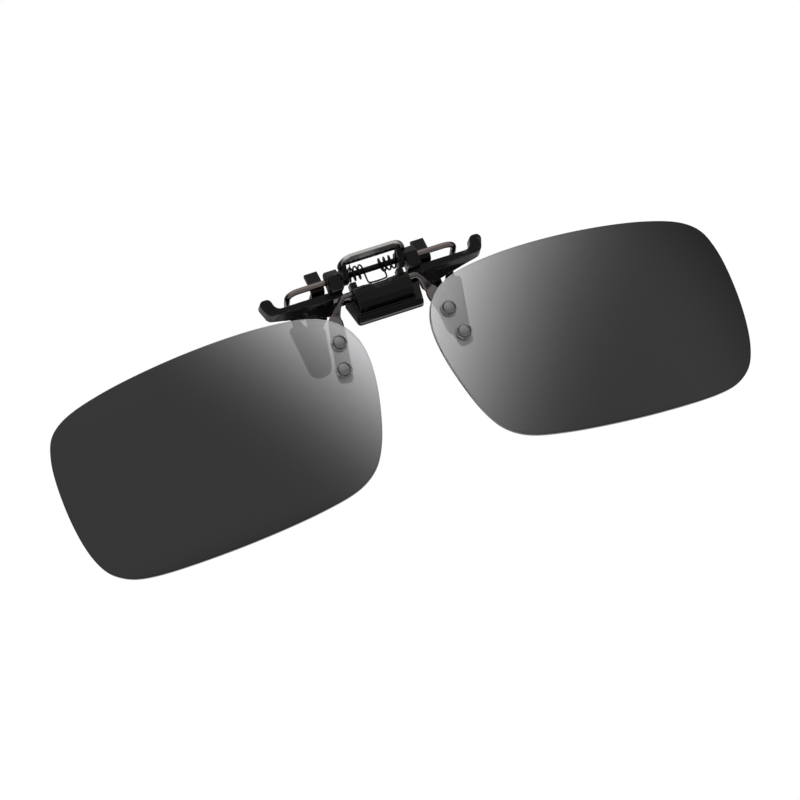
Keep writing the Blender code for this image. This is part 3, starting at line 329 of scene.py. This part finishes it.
def make_lens_tint(name, start, end, slant):
    material, tree, shader = new_material(name)
    fade = add_node(tree, "ShaderNodeGroup", {"node_tree": painted_reflection_fade}, Dark=TINT_DARK, Light=PAINTED_REFLECTION_TINT,
                    Start=start, End=end, Slant=slant, Power=TINT_POWER)
    grain = add_node(tree, "ShaderNodeGroup", {"node_tree": surface_grain}, **LENS_GRAIN)
    tree.links.new(fade.outputs["Color"], shader.inputs["Base Color"])
    tree.links.new(grain.outputs["Roughness"], shader.inputs["Roughness"])
    # The coat follows the fade, so its painted sheen lies only on the pale part.
    tree.links.new(fade.outputs["Fade"], shader.inputs["Coat Weight"])
    shader.inputs["Coat IOR"].default_value = LENS_COAT_IOR
    shader.inputs["Coat Roughness"].default_value = LENS_COAT_ROUGHNESS
    shader.inputs["Transmission Weight"].default_value = 1.0
    shader.inputs["IOR"].default_value = LENS_IOR
    return material


lens_left_tint = make_lens_tint("lens_left_tint", 0.0517, 0.0111, 0.60)
lens_right_tint = make_lens_tint("lens_right_tint", 0.0668, 0.0106, 0.77)
lens_rim = coated_metal("lens_rim", (0.004, 0.004, 0.0045), (0.02, 0.02, 0.02), 0.30, 0.0,
                        specular=0.08, wear_and_highlight=0.2)
print("lens finishes:", lens_left_tint.name, lens_right_tint.name, lens_rim.name)

# %% [markdown]
# ## Pieces that stand for a solid
# The frame's solids have the right shapes, but their edges are knife sharp and their curves are
# faceted. A finer piece takes the place of each one. It rides on the same body, so the hinges
# still work.

# %% Piece helpers
def add_piece(name, mesh, node, body, slot, *finishes):
    """Show a mesh in place of one solid, on that solid's body. A piece that bends gets no body here."""
    piece = bpy.data.objects.new(name, mesh)
    bpy.context.collection.objects.link(piece)
    mesh.materials.clear()
    for finish in finishes:
        mesh.materials.append(finish)
    if body:
        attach(piece, body)
    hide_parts(node)
    return piece


def new_mesh(bm, name):
    """Mesh made from an edited shape, which is freed."""
    mesh = bpy.data.meshes.new(name)
    bm.to_mesh(mesh)
    bm.free()
    return mesh


def shaped_mesh(mesh, steps):
    """Mesh after a list of modifiers, each one a kind with its settings."""
    maker = bpy.data.objects.new("maker", mesh)
    bpy.context.collection.objects.link(maker)
    for kind, settings in steps:
        modifier = maker.modifiers.new(kind.lower(), kind)
        for name, value in settings.items():
            setattr(modifier, name, value)
    shaped = bpy.data.meshes.new_from_object(maker.evaluated_get(bpy.context.evaluated_depsgraph_get()))
    bpy.data.objects.remove(maker)
    bpy.data.meshes.remove(mesh)
    shaped.shade_smooth()
    return shaped


print("helpers for pieces ready")

# %% [markdown]
# ## Cast and lacquered parts
# The arms, the hinge block and the jaw are cast or stamped, tumbled and lacquered, so no edge is
# sharper than about a fifth of a millimetre, and that rounding is what draws the thin light
# lines along them. A bevel modifier stumbles over the many small cuts of such a part. A voxel
# remesh, a few rounds of smoothing and a decimation round every edge alike, whatever the cuts.

# %% Softened copies
SMOOTH_FACTOR = 0.5
FLATS_WEIGHT = 50
CAST_KEEP, FINE_KEEP = 0.35, 0.4


def softened(node, voxel, rounds, keep):
    """Copy of a solid with its edges rounded over a few voxels, and its flats kept flat."""
    return shaped_mesh(nodes[node].data.copy(), [
        ("REMESH", {"mode": "VOXEL", "voxel_size": voxel, "use_smooth_shade": True}),
        ("SMOOTH", {"factor": SMOOTH_FACTOR, "iterations": rounds}),
        ("DECIMATE", {"ratio": keep}),
        ("WEIGHTED_NORMAL", {"weight": FLATS_WEIGHT}),
    ])


for name, node, body, voxel, rounds in (
    ("cast_arms", "arm_plate", "clip_frame", 0.00008, 13),
    ("cast_hinge", "hinge_block", "clip_frame", 0.00008, 13),
    ("stamped_jaw", "rear_plate", "rear_jaw", 0.00009, 15),
):
    mesh = softened(node, voxel, rounds, CAST_KEEP)
    add_piece(name, mesh, node, body, "black_metal", black_lacquer)
    print(name, "faces:", len(mesh.polygons))

# %% [markdown]
# ## Thumb lever
# The lever that opens the jaw is pressed from sheet. Its ears and its rear take black lacquer as
# painted shade, where the polished sheet mirrors the dark clip body, and the front of the pad,
# where the thumb pulls, is dark chrome. One mesh carries both finishes, and it is cut along
# straight lines first, so that the border between them is clean.

# %% Lever
LEVER_VOXEL, LEVER_ROUNDS = 0.00006, 7
BRIGHT_LOWEST = 0.0058
BRIGHT_HALF_WIDTH = 0.0057
BRIGHT_BACK = -0.0066
BACKWARDS, SIDEWAYS = (0.0, 1.0, 0.0), (1.0, 0.0, 0.0)


def cut_mesh(mesh, planes):
    """Add edges where planes cross a mesh; nothing is removed."""
    bm = bmesh.new()
    bm.from_mesh(mesh)
    for point, normal in planes:
        everything = bm.verts[:] + bm.edges[:] + bm.faces[:]
        bmesh.ops.bisect_plane(bm, geom=everything, plane_co=point, plane_no=normal)
    bm.to_mesh(mesh)
    bm.free()
    mesh.shade_smooth()


lever_mesh = softened("thumb_lever", LEVER_VOXEL, LEVER_ROUNDS, FINE_KEEP)
cut_mesh(lever_mesh, [((0.0, BRIGHT_BACK, 0.0), BACKWARDS), ((BRIGHT_HALF_WIDTH, 0.0, 0.0), SIDEWAYS),
                      ((-BRIGHT_HALF_WIDTH, 0.0, 0.0), SIDEWAYS)])
add_piece("pressed_lever", lever_mesh, "thumb_lever", "rear_jaw", "gunmetal", black_lacquer, dark_chrome)
# Faces behind or beside the chrome front take black lacquer: painted shade on the gunmetal sheet.
for face in lever_mesh.polygons:
    across, deep, high = face.center
    is_bright = deep < BRIGHT_BACK and abs(across) < BRIGHT_HALF_WIDTH and high > BRIGHT_LOWEST
    face.material_index = 1 if is_bright else 0
print("bright pad faces:", sum(face.material_index for face in lever_mesh.polygons))

# %% [markdown]
# ## Round wires
# The rod and the spring are drawn wire, so their solids are plain faceted tubes. Their triangles
# are joined back into quads and subdivided, which keeps the section round with few faces, where a
# remesh would need very small voxels for the spring. Between the lever's ears, where the lever
# shades it, the rod takes black lacquer as painted shade, dark like the spring on it, and its ends
# are bare bronze. The spring's coils stay with the clip, but its two legs lie under the pad, so
# they bend as the jaw opens.

# %% Rod and spring
MERGE_DISTANCE = 0.000001
QUAD_ANGLE = math.radians(60.0)
TUBE_LEVELS = 2
SHADED_HALF_LENGTH = 0.0060


def rounder_tube(node):
    """Subdivided copy of a faceted tube."""
    bm = bmesh.new()
    bm.from_mesh(nodes[node].data)
    bmesh.ops.remove_doubles(bm, verts=bm.verts, dist=MERGE_DISTANCE)
    bmesh.ops.join_triangles(bm, faces=bm.faces, angle_face_threshold=QUAD_ANGLE,
                             angle_shape_threshold=QUAD_ANGLE)
    smoother = ("SUBSURF", {"levels": TUBE_LEVELS, "render_levels": TUBE_LEVELS})
    return shaped_mesh(new_mesh(bm, node), [smoother])


rod_mesh = rounder_tube("jaw_rod")
add_piece("bent_rod", rod_mesh, "jaw_rod", "rear_jaw", "bronze_wire", bronze_wire, black_lacquer)
# Painted shade: the middle, which the lever shades, takes black lacquer instead of bronze.
for face in rod_mesh.polygons:
    face.material_index = 1 if abs(face.center.x) < SHADED_HALF_LENGTH else 0
spring = add_piece("wound_spring", rounder_tube("torsion_spring"), "torsion_spring", None,
                   "spring_wire", spring_wire)
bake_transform(spring)
print("wire faces:", len(rod_mesh.polygons), len(spring.data.polygons))

# %% [markdown]
# ## Wire bridge
# One wire joins the two lenses, and its ends are flattened into drilled straps. It could be a tube
# like the rod, but the flats and the holes would spoil the quads, so it is softened like the
# castings, with small voxels that the thin wire survives.

# %% Bridge
BRIDGE_VOXEL, BRIDGE_ROUNDS = 0.00006, 6

bridge = add_piece("drawn_bridge", softened("bridge_wire", BRIDGE_VOXEL, BRIDGE_ROUNDS, FINE_KEEP),
                   "bridge_wire", "lens_pair", "bronze_wire", strap_wire)
print("bridge faces:", len(bridge.data.polygons))

# %% [markdown]
# ## Silicone sleeves
# Soft sleeves cover the prongs that reach behind the glasses. They are dipped rather than cut, so
# every edge is full and round: the same softening with a larger reach.

# %% Sleeves
SLEEVE_VOXEL, SLEEVE_ROUNDS = 0.0001, 14

for side in ("left", "right"):
    node = "prong_sleeve_" + side
    mesh = softened(node, SLEEVE_VOXEL, SLEEVE_ROUNDS, FINE_KEEP)
    add_piece("soft_sleeve_" + side, mesh, node, "rear_jaw", "silicone", smoky_silicone)
    print(node, "faces:", len(mesh.polygons))

# %% [markdown]
# ## Lens surface
# Each lens is cut from a thin, shallow dome. Its outline is a smooth curve through a few points,
# given as shares of its half width and half height. The sheet could be extruded and bent with
# modifiers, but writing the surface as a formula gives every rivet its exact seat as well.

# %% Lens surface
LENS_HALF_WIDTH = 0.0290
LENS_HALF_HEIGHT = 0.01765
LENS_THICKNESS = 0.0008
LENS_CENTRE_X = 0.03527
LENS_DROP = 0.0160
LENS_FORWARD = 0.0010
LENS_CURVE_RADIUS = 0.138
LENS_WRAP = math.radians(12.0)


def lens_point(side, out, up, back):
    """Place on a lens: out and up from its centre, back through its thickness."""
    sag = (out ** 2 + up ** 2) / (2.0 * LENS_CURVE_RADIUS) + back
    across = LENS_CENTRE_X + out * math.cos(LENS_WRAP) - sag * math.sin(LENS_WRAP)
    deep = -LENS_FORWARD + out * math.sin(LENS_WRAP) + sag * math.cos(LENS_WRAP)
    return Vector((side * across, deep, up - LENS_DROP))


print("lens corner, m:", lens_point(1, LENS_HALF_WIDTH, LENS_HALF_HEIGHT, 0.0))

# %% [markdown]
# ## Lens outline
# The outline is a rounded rectangle with a slanted nose side, which no simple shape matches. A
# Catmull-Rom curve passes through every point given, so the points can be read off as places on
# the edge. Each step along the curve also gets its inward direction, which the rim needs.

# %% Lens outline
OUTLINE_STEPS = 18
OUTLINE_SHARES = [
    (0.982, -0.065), (0.962, 0.486), (0.854, 0.774), (0.550, 0.913),
    (0.020, 0.980), (-0.490, 0.961), (-0.819, 0.847), (-0.979, 0.563),
    (-0.995, 0.106), (-0.891, -0.518), (-0.730, -0.834), (-0.425, -0.962),
    (0.087, -1.013), (0.598, -0.973), (0.827, -0.842), (0.937, -0.563),
]


def smooth_outline(steps):
    """Closed curve through the outline's points, with its inward directions."""
    corners = [Vector((out * LENS_HALF_WIDTH, up * LENS_HALF_HEIGHT)) for out, up in OUTLINE_SHARES]
    places = []
    for index in range(len(corners)):
        p0, p1, p2, p3 = (corners[(index + shift) % len(corners)] for shift in (-1, 0, 1, 2))
        square = p0 * 2.0 - p1 * 5.0 + p2 * 4.0 - p3
        cube = p1 * 3.0 - p0 - p2 * 3.0 + p3
        for step in range(steps):
            share = step / steps
            bend = square * share ** 2 + cube * share ** 3
            places.append((p1 * 2.0 + (p2 - p0) * share + bend) / 2.0)
    inward = []
    for index in range(len(places)):
        along = places[(index + 1) % len(places)] - places[index - 1]
        inward.append(Vector((-along.y, along.x)).normalized())
    return places, inward


outline, inward = smooth_outline(OUTLINE_STEPS)
print("outline points:", len(outline))

# %% [markdown]
# ## Lens meshes
# Rings of points run from the middle of the front face out to the polished rim, over it and back
# behind. A solidify modifier would leave the rim square, and a bevel would pinch at the corners,
# while rings keep their spacing all round. The faces of the rim take the dark rim finish.

# %% Lens meshes
RIM_ROUND = 0.00010
RIM_LAND = 0.0002
RIM_TURNS = 3
SHEET_RING_SHARES = (0.18, 0.36, 0.54, 0.70, 0.83, 0.93)


def quarter_turn(steps):
    """Angles from nothing to a quarter turn."""
    return [math.pi / 2.0 * step / steps for step in range(steps + 1)]


def rim_profile():
    """Inset and depth of each ring from the front face over the rim to the rear face."""
    front = [(RIM_LAND, 0.0)]
    front += [(RIM_ROUND * (1.0 - math.sin(turn)), RIM_ROUND * (1.0 - math.cos(turn)))
              for turn in quarter_turn(RIM_TURNS)]
    return front + [(inset, LENS_THICKNESS - depth) for inset, depth in reversed(front)]


def lens_mesh(name, side):
    bm = bmesh.new()

    def ring(share, inset, depth):
        return [bm.verts.new(lens_point(side, *((place + into * inset) * share), depth))
                for place, into in zip(outline, inward)]

    rings = [ring(share, RIM_ROUND, 0.0) for share in SHEET_RING_SHARES]
    rings += [ring(1.0, inset, depth) for inset, depth in rim_profile()]
    rings += [ring(share, RIM_ROUND, LENS_THICKNESS) for share in reversed(SHEET_RING_SHARES)]
    rim_start = len(SHEET_RING_SHARES) + 1 + RIM_TURNS // 2
    rim_end = rim_start + len(rim_profile()) - 3 - RIM_TURNS // 2
    for row, (first, second) in enumerate(zip(rings, rings[1:])):
        for index in range(len(outline)):
            after = (index + 1) % len(outline)
            face = bm.faces.new((first[index], first[after], second[after], second[index]))
            face.material_index = 1 if rim_start <= row < rim_end else 0
    for depth, edge in ((0.0, rings[0]), (LENS_THICKNESS, rings[-1])):
        middle = bm.verts.new(lens_point(side, 0.0, 0.0, depth))
        for index in range(len(outline)):
            bm.faces.new((middle, edge[index], edge[(index + 1) % len(outline)]))
    bmesh.ops.recalc_face_normals(bm, faces=bm.faces)
    mesh = new_mesh(bm, name)
    mesh.shade_smooth()
    return mesh


for name, side, finish in (("left", -1, lens_left_tint), ("right", 1, lens_right_tint)):
    node = "lens_" + name
    mesh = lens_mesh(node, side)
    add_piece("glazed_" + node, mesh, node, "lens_pair", "tinted_lens", finish, lens_rim)
    print(node, "faces:", len(mesh.polygons))

# %% [markdown]
# ## Turned pieces
# Rivets and washers are round, so each one is a profile turned about its axis, which needs far
# fewer numbers than a modelled shape. The seats come from the lens formula: the axis runs straight
# through the sheet at the rivet's place, so heads sit flat on the curved lens.

# %% Turned pieces
TURN_SIDES = 48
SHARP_ANGLE = math.radians(50.0)
RIVET_OUT = {"upper": -0.02515, "lower": -0.02425}
RIVET_UP = {"upper": 0.00978, "lower": 0.00498}


def seat(side, level):
    """Frame on the lens front at a rivet, with Z straight back through the lens."""
    out, up = RIVET_OUT[level], RIVET_UP[level]
    here, step = lens_point(side, out, up, 0.0), LENS_THICKNESS
    outwards = lens_point(side, out + step, up, 0.0) - here
    upwards = lens_point(side, out, up + step, 0.0) - here
    normal = outwards.cross(upwards)
    normal = (normal if normal.y > 0.0 else -normal).normalized()
    return Matrix.Translation(here) @ normal.to_track_quat("Z", "Y").to_matrix().to_4x4()


def turned_mesh(name, profile, place, is_ring):
    """Profile of radii and heights turned about Z; a ring's profile closes on itself."""
    bm = bmesh.new()
    rings = []
    for radius, height in profile:
        turns = [2.0 * math.pi * index / TURN_SIDES for index in range(TURN_SIDES if radius else 1)]
        rings.append([bm.verts.new((radius * math.cos(turn), radius * math.sin(turn), height))
                      for turn in turns])
    pairs = list(zip(rings, rings[1:] + rings[:1])) if is_ring else list(zip(rings, rings[1:]))
    for first, second in pairs:
        for index in range(TURN_SIDES):
            after = (index + 1) % TURN_SIDES
            corners = [first[index % len(first)], first[after % len(first)],
                       second[after % len(second)], second[index % len(second)]]
            bm.faces.new(list(dict.fromkeys(corners)))
    bmesh.ops.recalc_face_normals(bm, faces=bm.faces)
    bmesh.ops.transform(bm, matrix=place, verts=bm.verts)
    mesh = new_mesh(bm, name)
    mesh.shade_smooth()
    mesh.set_sharp_from_angle(angle=SHARP_ANGLE)
    return mesh


print("upper rivet seats, m:", [seat(side, "upper").translation[:] for side in (-1, 1)])

# %% [markdown]
# ## Rivets and washers
# Four domed rivets, two to a lens, hold the lenses to the straps, with a clear washer under each
# head. Heights count from the lens front, backwards. The head is a flattened dome on a short
# land, and the tail behind is spread with a rounded crown, as a riveting tool leaves it.

# %% Rivets and washers
HEAD_RADIUS, HEAD_HEIGHT, HEAD_SEAT = 0.00122, 0.00075, 0.00045
HEAD_LAND, HEAD_STEPS = 0.00012, 12
SHANK_RADIUS = 0.0005
TAIL_START, TAIL_RADIUS, TAIL_HEIGHT, TAIL_ROUND, TAIL_STEPS = 0.0019, 0.00085, 0.0004, 0.0002, 4
WASHER_INNER, WASHER_OUTER, WASHER_ROUND = 0.0006, 0.0015, 0.00007
WASHER_FRONT, WASHER_BACK = 0.00035, 0.0001


def rivet_profile():
    dome_height = HEAD_HEIGHT - HEAD_LAND
    dome = [(HEAD_RADIUS * math.sin(turn), -HEAD_SEAT - HEAD_LAND - dome_height * math.cos(turn))
            for turn in quarter_turn(HEAD_STEPS)]
    stem = [(HEAD_RADIUS, -HEAD_SEAT), (SHANK_RADIUS, -HEAD_SEAT), (SHANK_RADIUS, TAIL_START)]
    crown_radius, crown = TAIL_RADIUS - TAIL_ROUND, TAIL_START + TAIL_HEIGHT
    tail = [(TAIL_RADIUS, TAIL_START)]
    tail += [(crown_radius + TAIL_ROUND * math.cos(turn), crown - TAIL_ROUND * (1.0 - math.sin(turn)))
             for turn in quarter_turn(TAIL_STEPS)]
    return dome + stem + tail + [(0.0, crown)]


def washer_profile():
    corners = [(WASHER_INNER, -WASHER_FRONT, 1, 1), (WASHER_OUTER, -WASHER_FRONT, -1, 1),
               (WASHER_OUTER, -WASHER_BACK, -1, -1), (WASHER_INNER, -WASHER_BACK, 1, -1)]
    points = []
    for radius, height, inwards, upwards in corners:
        first = (radius, height + WASHER_ROUND * upwards)
        second = (radius + WASHER_ROUND * inwards, height)
        points += [first, second] if inwards == upwards else [second, first]
    return points


for side_name, side in (("left", -1), ("right", 1)):
    for level in ("upper", "lower"):
        place, ending = seat(side, level), level + "_" + side_name
        add_piece("domed_rivet_" + ending, turned_mesh("rivet", rivet_profile(), place, False),
                  "lens_rivet_" + ending, "lens_pair", "steel", rivet_steel)
        add_piece("rounded_washer_" + ending, turned_mesh("washer", washer_profile(), place, True),
                  "lens_washer_" + ending, "lens_pair", "clear_nylon", clear_nylon)
print("profile points:", len(rivet_profile()), len(washer_profile()))

# %% [markdown]
# ## Pins of the arms
# Two short pins fix the hinge block to the arms. They could be turned like the lens rivets, but
# they hardly show, so they keep their own solids and only take the steel finish.

# %% Finish on the pins
for name in ("body_rivet_left", "body_rivet_right"):
    for slot in nodes[name].material_slots:
        slot.material = rivet_steel
    print(name, "finish:", rivet_steel.name)

# %% [markdown]
# ## Room to reflect
# Dark lacquer shows hardly more than what it reflects, so the set is made of soft changes of
# brightness rather than of objects. A ramp over a direction is such a change. The floor and the
# world also have to know which rays come straight from the camera or through glass.

# %% Studio helpers
def direction_ramp(tree, part, start, end, low, high):
    """Soft change of brightness between two values of a place or direction."""
    return add_node(tree, "ShaderNodeMapRange", {"interpolation_type": "SMOOTHSTEP"}, Value=part,
                    From_Min=start, From_Max=end, To_Min=low, To_Max=high).outputs["Result"]


def sorted_rays(tree):
    """Light path node, and a value that is 1 for rays from the camera or through glass."""
    rays = add_node(tree, "ShaderNodeLightPath")
    seen = calculate(tree, "MAXIMUM", rays.outputs["Is Camera Ray"], rays.outputs["Is Transmission Ray"])
    return rays, seen


print("helpers for the studio ready")

# %% [markdown]
# ## Floor
# The floor is a plain pale sheet well below the clip, because the camera looks up from under the
# lenses. It glows a little where it is seen, so it stays pale at the edge of the picture, and in
# reflections it is dark in front and lighter behind.

# %% Floor
FLOOR_SIZE, FLOOR_CELLS, FLOOR_HEIGHT = 4.0, 8, -0.45
FLOOR_COLOUR, FLOOR_ROUGHNESS, FLOOR_GLOW = (0.82, 0.82, 0.82, 1.0), 0.9, 0.35
FLOOR_BEHIND = (0.1, 0.6, 0.0, 0.5)
WHITE = (1.0, 1.0, 1.0, 1.0)


def pale_floor():
    material, tree, shader = new_material("pale_floor")
    rays, seen = sorted_rays(tree)
    direct = calculate(tree, "MULTIPLY", seen, FLOOR_GLOW)
    place = add_node(tree, "ShaderNodeTexCoord").outputs["Object"]
    parts = add_node(tree, "ShaderNodeSeparateXYZ", Vector=place)
    behind = direction_ramp(tree, parts.outputs["Y"], *FLOOR_BEHIND)
    glow = calculate(tree, "MULTIPLY_ADD", rays.outputs["Is Glossy Ray"], behind, direct)
    shader.inputs["Base Color"].default_value = FLOOR_COLOUR
    shader.inputs["Roughness"].default_value = FLOOR_ROUGHNESS
    shader.inputs["Emission Color"].default_value = WHITE
    tree.links.new(glow, shader.inputs["Emission Strength"])
    return material


def add_floor():
    bm = bmesh.new()
    bmesh.ops.create_grid(bm, x_segments=FLOOR_CELLS, y_segments=FLOOR_CELLS, size=FLOOR_SIZE)
    floor = bpy.data.objects.new("studio_floor", new_mesh(bm, "studio_floor"))
    floor.location = (0.0, 0.0, FLOOR_HEIGHT)
    bpy.context.collection.objects.link(floor)
    floor.data.materials.append(pale_floor())


add_floor()
print("floor at, m:", FLOOR_HEIGHT)

# %% [markdown]
# ## World
# The world is white where it is seen or shines through glass, as in a catalogue picture. If
# reflections saw that white too, the lacquer would turn grey, so they see a room instead: a
# broad white sheet in front, a backdrop behind, dark flags at the sides, a dark floor and a
# brighter box above. Each ramp gives two values of a direction and the brightness at each.

# %% World
STUDIO_LEVEL = 0.45
FRONT_SHEET = (-0.65, -0.25, 1.0, 0.10)
BACKDROP = (0.75, 0.92, 0.0, 0.60)
ABOVE_FLOOR = (-0.18, 0.04, 0.06, 1.0)
OVERHEAD_BOX = (0.55, 0.85, 0.0, 0.85)


def light_world():
    world = bpy.data.worlds.new("studio_world")
    bpy.context.scene.world = world
    world.use_nodes = True
    tree = world.node_tree
    rays, seen = sorted_rays(tree)
    direction = add_node(tree, "ShaderNodeTexCoord").outputs["Generated"]
    sky = add_node(tree, "ShaderNodeSeparateXYZ", Vector=direction)
    sheet = direction_ramp(tree, sky.outputs["Y"], *FRONT_SHEET)
    backdrop = direction_ramp(tree, sky.outputs["Y"], *BACKDROP)
    above_floor = direction_ramp(tree, sky.outputs["Z"], *ABOVE_FLOOR)
    overhead = direction_ramp(tree, sky.outputs["Z"], *OVERHEAD_BOX)
    walls = calculate(tree, "ADD", sheet, backdrop)
    lower = calculate(tree, "MULTIPLY", walls, above_floor)
    room = calculate(tree, "ADD", lower, overhead)
    unseen = add_node(tree, "ShaderNodeMix", i0=rays.outputs["Is Glossy Ray"], i2=STUDIO_LEVEL, i3=room)
    level = add_node(tree, "ShaderNodeMix", i0=seen, i2=unseen.outputs[0], i3=1.0)
    shade = tree.nodes["Background"]
    tree.links.new(level.outputs[0], shade.inputs["Strength"])
    shade.inputs["Color"].default_value = WHITE
    bpy.context.scene.view_settings.view_transform = "Standard"


light_world()
print("world:", bpy.context.scene.world.name)

# %% [markdown]
# ## Lights
# Two large soft boxes stand in front, a key from upper left and a weaker fill from the right, as
# in a small product studio. They are hidden from reflections, where the world's white sheet
# already takes their place.

# %% Lights
SOFT_BOXES = (
    ("key_box", (-0.6, -0.9, 0.8), (0.6, 0.6), 8.0),
    ("fill_box", (0.9, -0.7, 0.2), (0.5, 0.8), 3.0),
)


def add_soft_box(name, place, size, power):
    data = bpy.data.lights.new(name, "AREA")
    data.shape = "RECTANGLE"
    data.size, data.size_y = size
    data.energy = power
    box = bpy.data.objects.new(name, data)
    box.location = place
    box.rotation_euler = (-Vector(place)).to_track_quat("-Z", "Y").to_euler()
    box.visible_glossy = False
    bpy.context.collection.objects.link(box)


for name, place, size, power in SOFT_BOXES:
    add_soft_box(name, place, size, power)
    print(name, "watts:", power)
